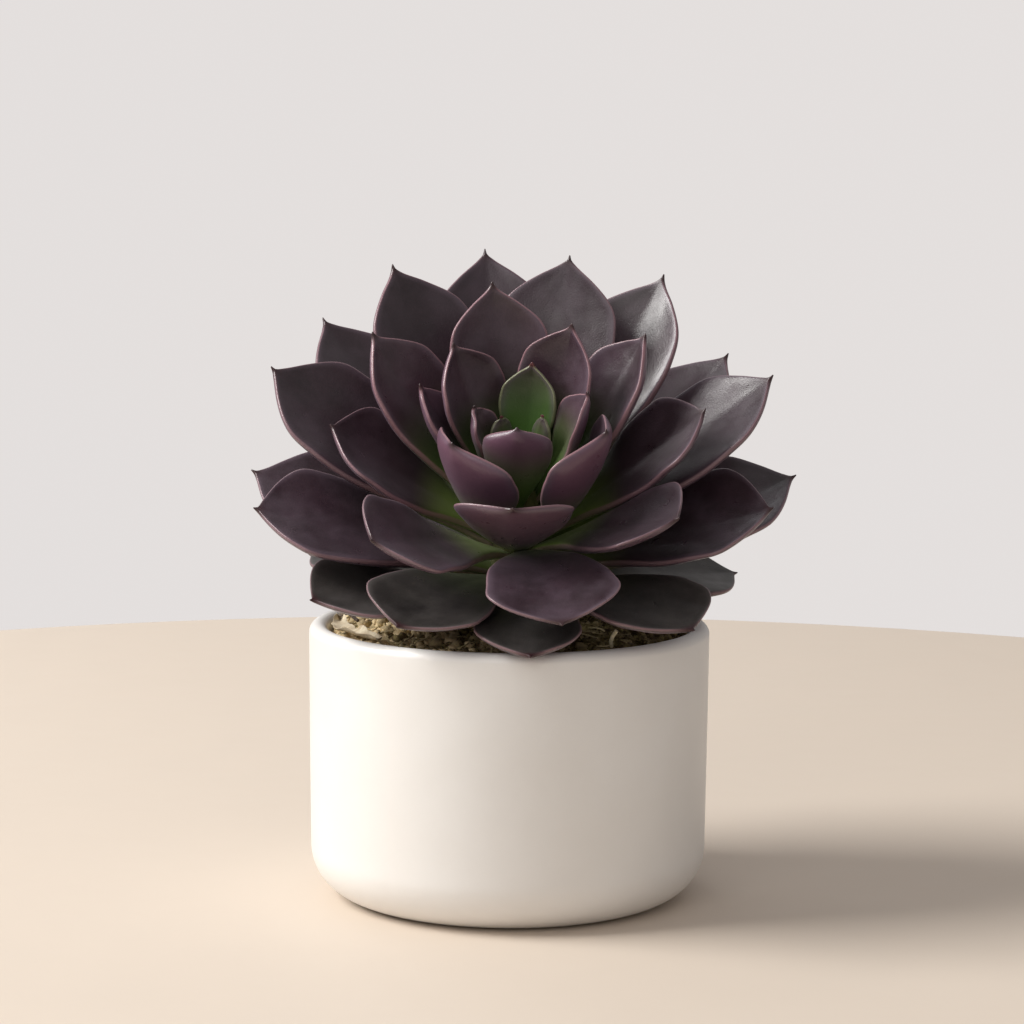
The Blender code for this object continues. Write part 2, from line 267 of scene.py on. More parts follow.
class Tree:
    """A hand on a node tree that adds nodes and joins their sockets."""

    def __init__(self, tree: bpy.types.NodeTree) -> None:
        """Take hold of a tree and empty it."""
        self.tree = tree
        tree.nodes.clear()

    def add(self, kind: str, inputs: dict | None = None, **settings: object) -> bpy.types.Node:
        """Add a node.

        Args:
            kind: Node type, without its ShaderNode prefix.
            inputs: Values or source sockets for its named or numbered inputs.
            **settings: Values for its properties.

        Returns:
            The node.
        """
        node = self.tree.nodes.new(kind if kind.startswith("Node") else "ShaderNode" + kind)
        for name, value in settings.items():
            setattr(node, name, value)
        for name, value in (inputs or {}).items():
            socket = node.inputs[name]
            if isinstance(value, bpy.types.NodeSocket):
                self.tree.links.new(value, socket)
            elif isinstance(value, tuple) and len(value) == 3 and socket.type == "RGBA":
                socket.default_value = (*value, 1.0)
            else:
                socket.default_value = value
        return node

    def group(self, tree: bpy.types.NodeTree, inputs: dict) -> bpy.types.Node:
        """Place a node group with its own values."""
        node = self.tree.nodes.new("ShaderNodeGroup")
        node.node_tree = tree
        for name, value in inputs.items():
            if isinstance(value, bpy.types.NodeSocket):
                self.tree.links.new(value, node.inputs[name])
            else:
                node.inputs[name].default_value = (*value, 1.0) if isinstance(value, tuple) else value
        return node

    def value(self, name: str) -> bpy.types.NodeSocket:
        """Return the piece's own point value of that name."""
        return self.add("Attribute", attribute_name=name).outputs["Fac"]

    def ramp(self, source: bpy.types.NodeSocket, low: float, high: float) -> bpy.types.NodeSocket:
        """Return a smooth 0 to 1 step of a value between low and high."""
        node = self.add("MapRange", {"Value": source, "From Min": low, "From Max": high},
                        interpolation_type="SMOOTHSTEP")
        return node.outputs["Result"]

    def times(self, a: bpy.types.NodeSocket, b: object) -> bpy.types.NodeSocket:
        """Return the product of two numbers."""
        return self.add("Math", {0: a, 1: b}, operation="MULTIPLY").outputs[0]

    def blend(self, share: bpy.types.NodeSocket, a: object, b: object) -> bpy.types.NodeSocket:
        """Return a mix of two colours, from a at share 0 to b at share 1."""
        node = self.add("Mix", {"Factor": share}, data_type="RGBA")
        for place, value in ((6, a), (7, b)):
            if isinstance(value, bpy.types.NodeSocket):
                self.tree.links.new(value, node.inputs[place])
            else:
                node.inputs[place].default_value = (*value, 1.0)
        return node.outputs[2]


def new_group(name: str, inputs: dict[str, object], outputs: dict[str, str]) -> tuple[Tree, bpy.types.Node]:
    """Start a shared node group.

    Args:
        name: Name of the group.
        inputs: Each input's name and usual value, a colour or a number.
        outputs: Each output's name and socket type.

    Returns:
        The hand on its tree, and its input node.
    """
    tree = bpy.data.node_groups.new(name, "ShaderNodeTree")
    hand = Tree(tree)
    for label, usual in inputs.items():
        kind = "NodeSocketColor" if isinstance(usual, tuple) else "NodeSocketFloat"
        socket = tree.interface.new_socket(name=label, in_out="INPUT", socket_type=kind)
        socket.default_value = (*usual, 1.0) if isinstance(usual, tuple) else usual
    for label, kind in outputs.items():
        tree.interface.new_socket(name=label, in_out="OUTPUT", socket_type=kind)
    return hand, hand.add("NodeGroupInput")


def mottle_group() -> bpy.types.NodeTree:
    """Build the mottling that leaves, soil, bark and husk share: two colours in soft blotches of a given size."""
    hand, given = new_group("mottling", {"First": (0.1, 0.1, 0.1), "Second": (0.2, 0.2, 0.2), "Scale": 100.0,
                                         "Sharpness": 0.2, "Balance": 0.5},
                            {"Colour": "NodeSocketColor", "Mask": "NodeSocketFloat"})
    place = hand.add("TexCoord").outputs["Object"]
    noise = hand.add("TexNoise", {"Vector": place, "Scale": given.outputs["Scale"], "Detail": 5.0,
                                  "Roughness": 0.6})
    low = hand.add("Math", {0: given.outputs["Balance"], 1: given.outputs["Sharpness"]}, operation="SUBTRACT")
    high = hand.add("Math", {0: given.outputs["Balance"], 1: given.outputs["Sharpness"]}, operation="ADD")
    mask = hand.add("MapRange", {"Value": noise.outputs[0], "From Min": low.outputs[0],
                                 "From Max": high.outputs[0]}, interpolation_type="SMOOTHSTEP").outputs[0]
    colour = hand.blend(mask, given.outputs["First"], given.outputs["Second"])
    hand.add("NodeGroupOutput", {"Colour": colour, "Mask": mask})
    return hand.tree


def grain_group() -> bpy.types.NodeTree:
    """Build the fine relief that all finishes share: a coarse and a fine noise added up, for bump and roughness."""
    hand, given = new_group("grain", {"Coarse": 200.0, "Fine": 1500.0, "Fine Share": 0.4, "Dull": 0.4, "Shiny": 0.4},
                            {"Height": "NodeSocketFloat", "Roughness": "NodeSocketFloat"})
    place = hand.add("TexCoord").outputs["Object"]
    broad = hand.add("TexNoise", {"Vector": place, "Scale": given.outputs["Coarse"], "Detail": 3.0}).outputs[0]
    close = hand.add("TexNoise", {"Vector": place, "Scale": given.outputs["Fine"], "Detail": 2.0}).outputs[0]
    height = hand.add("Mix", {"Factor": given.outputs["Fine Share"], 2: broad, 3: close}).outputs[0]
    gloss = hand.add("MapRange", {"Value": broad, "From Min": 0.3, "From Max": 0.7,
                                  "To Min": given.outputs["Shiny"], "To Max": given.outputs["Dull"]}).outputs[0]
    hand.add("NodeGroupOutput", {"Height": height, "Roughness": gloss})
    return hand.tree


@dataclass
class SharedEffects:
    """The node groups that the materials share, each built once."""

    mottling: bpy.types.NodeTree = field(default_factory=mottle_group)
    grain: bpy.types.NodeTree = field(default_factory=grain_group)


def new_material(name: str) -> tuple[bpy.types.Material, Tree]:
    """Start a material with an empty tree."""
    material = bpy.data.materials.new(name)
    material.use_nodes = True
    return material, Tree(material.node_tree)


def close_material(hand: Tree, inputs: dict, height: bpy.types.NodeSocket, depth: float) -> None:
    """Add the Principled shader, its bump and the output.

    Args:
        hand: The material's tree.
        inputs: Values and sources for the shader's inputs.
        height: Source of the bump's height.
        depth: Bump distance in metres.
    """
    bump = hand.add("Bump", {"Height": height, "Strength": 1.0, "Distance": depth})
    shader = hand.add("BsdfPrincipled", {**inputs, "Normal": bump.outputs[0]})
    hand.add("OutputMaterial", {"Surface": shader.outputs[0]})


@dataclass(frozen=True)
class LeafFinish:
    """Waxy leaf skin: dark pigment that clears to green at the foot, a thin bright margin, a paler underside, and
    lilac-grey patches and edge bands on the outer half that are partly waxy bloom and partly painted highlight.
    """

    name: str
    dark: Colour = (0.010, 0.0050, 0.0060)
    light: Colour = (0.038, 0.019, 0.027)
    under: Colour = (0.090, 0.046, 0.062)
    # Lilac-grey colour of the patches and edge bands: partly waxy bloom, partly painted highlight.
    dust_and_highlight: Colour = (0.150, 0.108, 0.140)
    dust_and_highlight_share: float = 0.30
    halo_share: float = 0.45
    green: Colour = (0.170, 0.250, 0.045)
    green_reach: float = 0.42
    green_share: float = 0.85
    margin: Colour = (0.27, 0.155, 0.175)
    margin_share: float = 0.6
    tip: Colour = (0.030, 0.008, 0.010)
    bloom: Colour = (0.64, 0.55, 0.68)
    bloom_share: float = 0.09
    gloss: float = 0.6
    shiny: float = 0.27
    dull: float = 0.42

    def material(self, shared: SharedEffects) -> bpy.types.Material:
        """Build the material from the leaf's own values along, edge and under."""
        material, hand = new_material(self.name)
        along, edge, under = hand.value("along"), hand.value("edge"), hand.value("under")
        shade = hand.value("shade")
        skin = hand.group(shared.mottling, {"First": self.dark, "Second": self.light, "Scale": 70.0,
                                            "Sharpness": 0.22, "Balance": 0.5})
        colour = hand.blend(hand.times(shade, 0.6), skin.outputs["Colour"], self.light)
        # Patches on the outer half of the leaf: partly waxy bloom, partly painted highlight.
        cloud = hand.group(shared.mottling, {"First": self.dark, "Second": self.dust_and_highlight, "Scale": 85.0,
                                             "Sharpness": 0.16, "Balance": 0.53})
        outer_half = hand.times(hand.ramp(along, 0.35, 0.75), self.dust_and_highlight_share)
        colour = hand.blend(hand.times(cloud.outputs["Mask"], outer_half), colour, self.dust_and_highlight)
        colour = hand.blend(under, colour, self.under)
        foot = hand.add("MapRange", {"Value": along, "From Min": self.green_reach * 0.25,
                                     "From Max": self.green_reach, "To Min": 1.0, "To Max": 0.0},
                        interpolation_type="SMOOTHSTEP").outputs[0]
        foot = hand.times(foot, self.green_share)
        colour = hand.blend(foot, colour, self.green)
        # A band along the margins of the outer half in the same colour: partly waxy bloom, partly painted highlight.
        halo = hand.times(hand.ramp(hand.value("halo"), 0.1, 1.0), self.halo_share)
        colour = hand.blend(halo, colour, self.dust_and_highlight)
        rim = hand.times(hand.ramp(edge, 0.15, 0.85), self.margin_share)
        colour = hand.blend(rim, colour, self.margin)
        colour = hand.blend(hand.ramp(along, 0.945, 0.985), colour, self.tip)
        grain = hand.group(shared.grain, {"Coarse": 260.0, "Fine": 2600.0, "Fine Share": 0.35,
                                          "Dull": self.dull, "Shiny": self.shiny})
        close_material(hand, {"Base Color": colour, "Roughness": grain.outputs["Roughness"],
                              "Specular IOR Level": self.gloss, "Sheen Weight": self.bloom_share,
                              "Sheen Roughness": 0.5, "Sheen Tint": self.bloom},
                       grain.outputs["Height"], 0.10 * MM)
        return material


@dataclass(frozen=True)
class GroundFinish:
    """Crumbly growing mix: dark humus broken by straw and olive bits, told apart by a tone that is partly each crumb's
    own and partly painted light, paler towards the plant's left.
    """

    name: str
    humus: Colour = (0.085, 0.058, 0.028)
    straw: Colour = (0.72, 0.57, 0.34)
    olive: Colour = (0.26, 0.21, 0.085)
    scale: float = 420.0
    depth: float = 0.5 * MM

    def material(self, shared: SharedEffects) -> bpy.types.Material:
        """Build the material from the piece's own value tone, which holds both its own tone and painted light."""
        material, hand = new_material(self.name)
        tone = hand.value("tone")
        mixed = hand.group(shared.mottling, {"First": self.humus, "Second": self.olive, "Scale": self.scale,
                                             "Sharpness": 0.12, "Balance": 0.5})
        colour = hand.blend(hand.ramp(tone, 0.35, 0.9), mixed.outputs["Colour"], self.straw)
        grain = hand.group(shared.grain, {"Coarse": 900.0, "Fine": 3000.0, "Fine Share": 0.5,
                                          "Dull": 0.95, "Shiny": 0.75})
        close_material(hand, {"Base Color": colour, "Roughness": grain.outputs["Roughness"],
                              "Specular IOR Level": 0.25}, grain.outputs["Height"], self.depth)
        return material


@dataclass(frozen=True)
class CeramicFinish:
    """Satin white glaze with a faint warm drift of colour and an almost smooth skin, bare and rougher underneath."""

    name: str = "satin_glaze"
    white: Colour = (0.80, 0.79, 0.77)
    warm: Colour = (0.76, 0.74, 0.71)
    bare: Colour = (0.62, 0.56, 0.48)

    def material(self, shared: SharedEffects) -> bpy.types.Material:
        """Build the material, with the bare foot told by height."""
        material, hand = new_material(self.name)
        glaze = hand.group(shared.mottling, {"First": self.white, "Second": self.warm, "Scale": 22.0,
                                             "Sharpness": 0.3, "Balance": 0.5})
        foot = hand.value("foot")
        colour = hand.blend(foot, glaze.outputs["Colour"], self.bare)
        grain = hand.group(shared.grain, {"Coarse": 120.0, "Fine": 1800.0, "Fine Share": 0.25,
                                          "Dull": 0.44, "Shiny": 0.34})
        rough = hand.add("Math", {0: grain.outputs["Roughness"], 1: hand.times(foot, 0.4)}, operation="ADD")
        close_material(hand, {"Base Color": colour, "Roughness": rough.outputs[0], "Specular IOR Level": 0.5,
                              "Coat Weight": 0.15, "Coat Roughness": 0.22},
                       grain.outputs["Height"], 0.05 * MM)
        return material


@dataclass(frozen=True)
class DryFinish:
    """Dry plant matter, papery or woody: two colours in soft blotches, with a matt fibrous relief."""

    name: str
    first: Colour
    second: Colour
    scale: float = 500.0
    stretch: tuple[float, float, float] = (1.0, 1.0, 1.0)

    def material(self, shared: SharedEffects) -> bpy.types.Material:
        """Build the material."""
        material, hand = new_material(self.name)
        streak = hand.group(shared.mottling, {"First": self.first, "Second": self.second, "Scale": self.scale,
                                              "Sharpness": 0.18, "Balance": 0.5})
        grain = hand.group(shared.grain, {"Coarse": 700.0, "Fine": 2800.0, "Fine Share": 0.5,
                                          "Dull": 0.9, "Shiny": 0.65})
        close_material(hand, {"Base Color": streak.outputs["Colour"], "Roughness": grain.outputs["Roughness"],
                              "Specular IOR Level": 0.3}, grain.outputs["Height"], 0.2 * MM)
        return material


# --- Leaves ----------------------------------------------------------------------------------------------


@dataclass
class LeafFrame:
    """A leaf's shape read from its frame node, ring by ring from foot to tip."""

    at: Array
    spine: Array
    side: Array
    up: Array
    half: Array
    bend: Array
    thick: Array


@dataclass
class Leaf:
    """One fleshy leaf, grown again along the midline of its frame node."""

    node: str
    seed: int
    stations: tuple[float, ...] = (0.0, 0.10, 0.24, 0.40, 0.56, 0.70, 0.82, 0.91, 0.965, 1.0)
    upper_share: float = 0.35
    steps_along: int = 76
    steps_round: int = 48
    foot_reach: float = 1.6 * MM
    margin_width: float = 0.5 * MM
    halo_width: float = 2.6 * MM
    wave: float = 0.24 * MM
    spike: float = 0.34 * MM
    ogee: tuple[float, float, float] = (1.01, 0.86, 0.60)

    def read(self, axis: Array) -> LeafFrame:
        """Read the rings of the frame node.

        The tip is the one point with eight neighbours; a ring is the set of points the same number of edges from it.
        In a ring the two points furthest apart are the margins, and the two nearest the middle are its upper and
        lower centres.

        Args:
            axis: The stem's direction, upwards.

        Returns:
            The leaf's frame.
        """
        points, near = merged(self.node)
        tip = next(k for k, joined in enumerate(near) if len(joined) == 8)
        reached = np.full(len(points), -1)
        reached[tip] = 0
        front = [tip]
        while front:
            front = sorted({other for k in front for other in near[k] if reached[other] < 0})
            reached[front] = reached.max() + 1
        rings = [points[reached == level] for level in range(len(self.stations) - 1, 0, -1)]
        spine, side, up, half, bend, thick = [], [], [], [], [], []
        for ring in rings:
            apart = np.linalg.norm(ring[:, None] - ring[None], axis=2)
            first, second = np.unravel_index(apart.argmax(), apart.shape)
            across = unit(ring[second] - ring[first])
            middle = (ring[first] + ring[second]) / 2
            inner = np.argsort(np.abs((ring - middle) @ across))[:2]
            one, other = ring[inner[0]], ring[inner[1]]
            sense = up[-1] if up else axis
            top, under = (one, other) if (one - other) @ sense > 0 else (other, one)
            rise = unit(top - under)
            thickness = np.linalg.norm(top - under)
            centre = under + (1 - self.upper_share) * (top - under)
            chord = apart.max() / 2
            local = 2 * math.atan2(max((middle - centre) @ rise, 1e-7), chord)
            spine.append(centre)
            side.append(across)
            up.append(rise)
            half.append(chord * local / math.sin(local))
            bend.append(local)
            thick.append(thickness)
        spine.append(points[tip])
        ahead = np.gradient(np.array(spine), axis=0)[:-1]
        up_rows = np.array(up)
        side_rows = np.array(side)
        turned = np.einsum("ij,ij->i", np.cross(up_rows, ahead), side_rows)
        side_rows = side_rows * np.where(turned < 0, -1.0, 1.0)[:, None]
        return LeafFrame(np.array(self.stations), np.array(spine), np.vstack([side_rows, side_rows[-1:]]),
                         np.vstack([up_rows, up_rows[-1:]]), np.array(half + [0.0]),
                         np.array(bend + [bend[-1]]), np.array(thick + [0.0]))

    def surface(self, shape: LeafFrame) -> Surface:
        """Grow the leaf: at each step along the midline, an arc of the cup's radius with an elliptic thickness.

        The margin's ripple rises with the square of the distance from the midline, and the last stretch draws in to a
        round spike. A low crease runs down the middle of the upper face, and a keel down the underside.

        Args:
            shape: The leaf's frame.

        Returns:
            The closed surface with its values along, edge, under and shade.
        """
        last = self.stations[-2]
        beyond = last + 0.40 * (1 - last)
        knots = np.insert(shape.at, -1, beyond)
        drawn_in = shape.half * np.interp(shape.at, self.stations[-4:-1], self.ogee)
        half_knots = np.insert(drawn_in, -1, max(0.30 * drawn_in[-2], 1.5 * self.spike))
        half_knots[-1] = 0.35 * self.spike
        thick_knots = np.insert(shape.thick, -1, min(shape.thick[-2] * 0.8, 2.2 * half_knots[-2]))
        thick_knots[-1] = 0.6 * self.spike
        length = np.linalg.norm(np.diff(shape.spine, axis=0), axis=1).sum()
        inwards = self.foot_reach / length
        t = np.linspace(0.0, 1.0, self.steps_along)
        s = -inwards + (1.0 + inwards) * (t + 0.12 * np.sin(math.pi * t)) * 0.9995
        s = np.minimum(s, 0.9995)
        spine = curve_through(shape.at, shape.spine, s)
        side = unit(curve_through(shape.at, shape.side, np.clip(s, 0, 1)))
        up = unit(curve_through(shape.at, shape.up, np.clip(s, 0, 1)))
        half = np.maximum(curve_through(knots, half_knots, np.clip(s, 0, 1)), half_knots[-1])[:, None]
        bend = curve_through(shape.at, shape.bend, np.clip(s, 0, 1), even=True)[:, None]
        thick = curve_through(knots, thick_knots, np.clip(s, 0, 1), even=True)[:, None]
        a = np.linspace(0.0, 2 * math.pi, self.steps_round, endpoint=False)
        v = -np.cos(a)[None, :]
        lift = np.sin(a)[None, :]
        over = np.where(lift >= 0, self.upper_share, 1 - self.upper_share)
        swell = over * thick * np.sign(lift) * np.abs(lift) ** 0.85
        draft = np.random.default_rng(self.seed)
        phase = draft.uniform(0, 2 * math.pi, 4)
        body = smooth(0.1, 0.45, s)[:, None] * (1 - smooth(0.86, 0.97, s))[:, None]
        ripple = self.wave * body * v**2 * (np.sin(2 * math.pi * 1.6 * s[:, None] + phase[0] + 0.9 * np.sign(v))
                                            + 0.5 * np.sin(2 * math.pi * 3.7 * s[:, None] + phase[1] - np.sign(v)))
        crease = -0.25 * MM * body * np.exp(-(v / 0.16) ** 2) * (lift > 0)
        keel = -0.25 * MM * smooth(0.45, 0.85, s)[:, None] * body * np.exp(-(v / 0.22) ** 2) * (lift < 0)
        grid = np.stack(np.broadcast_arrays(s[:, None] * 4.0 + phase[2], v * 1.5 + 10 * np.sign(lift), phase[3]), -1)
        lumps = 0.13 * MM * body * lattice(grid.reshape(-1, 3), self.seed).reshape(ripple.shape) * np.abs(lift)
        out = swell + crease + keel + lumps * np.sign(lift)
        x = half * np.sin(bend * v) / bend - out * np.sin(bend * v)
        y = half * (1 - np.cos(bend * v)) / bend + out * np.cos(bend * v) + ripple
        rings = spine[:, None] + x[..., None] * side[:, None] + y[..., None] * up[:, None]
        whole = closed_tube(rings, spine[0], shape.spine[-1])
        near_edge = np.clip(1 - half * (1 - np.abs(v)) / self.margin_width, 0, 1) * np.ones_like(x)
        # Band near the margin where the material paints partly bloom and partly highlight.
        soft_edge = np.clip(1 - half * (1 - np.abs(v)) / self.halo_width, 0, 1) * np.ones_like(x)
        below = smooth(0.05, 0.5, -lift) * np.ones_like(x)
        drift = lattice(np.stack([spine[:, 0] * 60, spine[:, 1] * 60, spine[:, 2] * 60], -1), 7)[:, None]
        shade = np.clip(0.5 + 0.5 * drift + 0.25 * (v**2 - 0.4), 0, 1) * np.ones_like(x)
        along = s[:, None] * np.ones_like(x)
        whole.values = {
            "along": np.append(along.ravel(), [0.0, 1.0]),
            "edge": np.append(near_edge.ravel(), [0.0, 1.0]),
            "halo": np.append((soft_edge * smooth(0.25, 0.7, along)).ravel(), [0.0, 1.0]),
            "under": np.append(below.ravel(), [0.5, 0.5]),
            "shade": np.append(shade.ravel(), [0.5, 0.5]),
        }
        return whole


@dataclass
class Rosette:
    """All leaves of the plant, in whorls from the soil up to the heart."""

    shared: SharedEffects
    whorls: dict[str, tuple[Slot, LeafFinish]] = field(default_factory=dict)
    flushed: tuple[str, ...] = ("heart_leaf_1", "heart_leaf_2", "heart_leaf_4")

    def __post_init__(self) -> None:
        """Settle each whorl's slot and finish."""
        outer = LeafFinish("outer_leaf_skin")
        self.whorls = {
            "base": (Slot.DARK_LEAF, replace(outer, name="base_leaf_skin", dark=(0.010, 0.009, 0.008),
                                             light=(0.034, 0.031, 0.027), green=(0.045, 0.065, 0.020),
                                             green_share=0.8, green_reach=0.62, gloss=0.4,
                                             dust_and_highlight=(0.110, 0.100, 0.095), bloom_share=0.04)),
            "outer": (Slot.DARK_LEAF, outer),
            # The middle and upper whorls get less of the patches of bloom and painted highlight.
            "middle": (Slot.DARK_LEAF, replace(outer, name="middle_leaf_skin", dark=(0.011, 0.0055, 0.007),
                                               green_share=0.95, green_reach=0.50, dust_and_highlight_share=0.18,
                                               halo_share=0.35)),
            "upper": (Slot.DARK_LEAF, replace(outer, name="upper_leaf_skin", dark=(0.013, 0.006, 0.008),
                                              light=(0.036, 0.019, 0.026), green_share=1.0, green_reach=0.50,
                                              dust_and_highlight_share=0.18,
                                              margin=(0.27, 0.14, 0.16))),
            "inner": (Slot.INNER_LEAF, replace(outer, name="inner_leaf_skin", dark=(0.017, 0.008, 0.010),
                                               light=(0.054, 0.026, 0.038), under=(0.125, 0.058, 0.088),
                                               green=(0.085, 0.160, 0.030), green_share=0.95, green_reach=0.68,
                                               margin=(0.34, 0.17, 0.19), margin_share=0.6)),
            "heart": (Slot.HEART_LEAF, replace(outer, name="heart_leaf_skin", dark=(0.032, 0.018, 0.020),
                                               light=(0.075, 0.045, 0.050), under=(0.085, 0.045, 0.055),
                                               green=(0.080, 0.185, 0.032), green_share=1.0, green_reach=1.15,
                                               margin=(0.25, 0.27, 0.13), margin_share=0.6,
                                               tip=(0.10, 0.02, 0.022))),
        }

    def build(self) -> None:
        """Grow every leaf on its frame node."""
        stem, _ = merged("stem")
        low, high = stem[stem[:, 2].argmin()], stem[stem[:, 2].argmax()]
        axis = unit(high - low)
        flush = replace(self.whorls["inner"][1], name="flushed_leaf_skin", green_reach=0.85,
                        light=(0.075, 0.036, 0.050)).material(self.shared)
        for whorl, (slot, finish) in self.whorls.items():
            material = finish.material(self.shared)
            names = sorted(name for name in frame["nodes"] if name.startswith(whorl + "_leaf_"))
            for number, name in enumerate(names):
                leaf = Leaf(name, seed=100 * len(whorl) + number)
                skin = flush if name in self.flushed else material
                piece = make_piece("succulent_" + name, leaf.surface(leaf.read(axis)), skin)
                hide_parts(name)


# --- Pot, soil and litter --------------------------------------------------------------------------------


@dataclass
class Pot:
    """White cylinder pot with a round lip and a rounded foot corner, turned from one profile."""

    shared: SharedEffects
    wall: float = 4.4 * MM
    corner: float = 11.5 * MM
    foot_inset: float = 0.5 * MM
    floor: float = 6.0 * MM
    steps: int = 256

    def profile(self, radius: float, height: float) -> Array:
        """Work out the profile, from the middle of the inner floor over the lip and down to the middle of the foot.

        Args:
            radius: Outer radius.
            height: Height of the lip.

        Returns:
            Rows of radius and height.
        """
        lip = self.wall / 2
        inner = radius - self.wall

        def arc(x: float, z: float, r: float, start: float, end: float, count: int) -> Array:
            """Points on an arc of radius r about (x, z), from one angle to another in degrees."""
            turn = np.radians(np.linspace(start, end, count))
            return np.stack([x + r * np.cos(turn), z + r * np.sin(turn)], axis=-1)

        foot = radius - self.foot_inset
        side = np.linspace(0.03, 0.97, 24)[:, None]
        top = np.array([radius, height - lip])
        low = np.array([foot, self.corner])
        return np.vstack([
            [[0.5 * MM, self.floor]], arc(inner - self.floor, 2 * self.floor, self.floor, -90, 0, 12),
            arc(radius - lip, height - lip, lip, 180, 0, 28), top + (low - top) * side,
            arc(foot - self.corner, self.corner, self.corner, 0, -90, 28), [[0.5 * MM, 0.0]],
        ])

    def build(self) -> None:
        """Turn the profile about the pot's axis and close both ends at it."""
        low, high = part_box("pot")
        radius = (high.x - low.x) / 2
        rows = self.profile(radius, high.z)
        turn = np.linspace(0, 2 * math.pi, self.steps, endpoint=False)
        outer = smooth(0.9 * radius, radius, rows[:, 0])[:, None]
        hand_made = outer * 0.06 * MM * (np.sin(2 * turn + 0.6)[None] * np.sin(rows[:, 1:] * 70) - 1)
        reach = rows[:, :1] + hand_made
        rings = np.stack([reach * np.cos(turn), reach * np.sin(turn), rows[:, 1:] + 0 * reach], axis=-1)
        whole = closed_tube(rings, np.array([0, 0, self.floor]), np.zeros(3))
        last = np.arange(len(rows)) > len(rows) - 12
        bare = (last & (rows[:, 1] < 0.4 * MM)).astype(float)[:, None] * np.ones((1, self.steps))
        whole.values = {"foot": np.append(bare.ravel(), [0.0, 1.0])}
        piece = make_piece("ceramic_pot", whole, CeramicFinish().material(self.shared))
        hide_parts("pot")


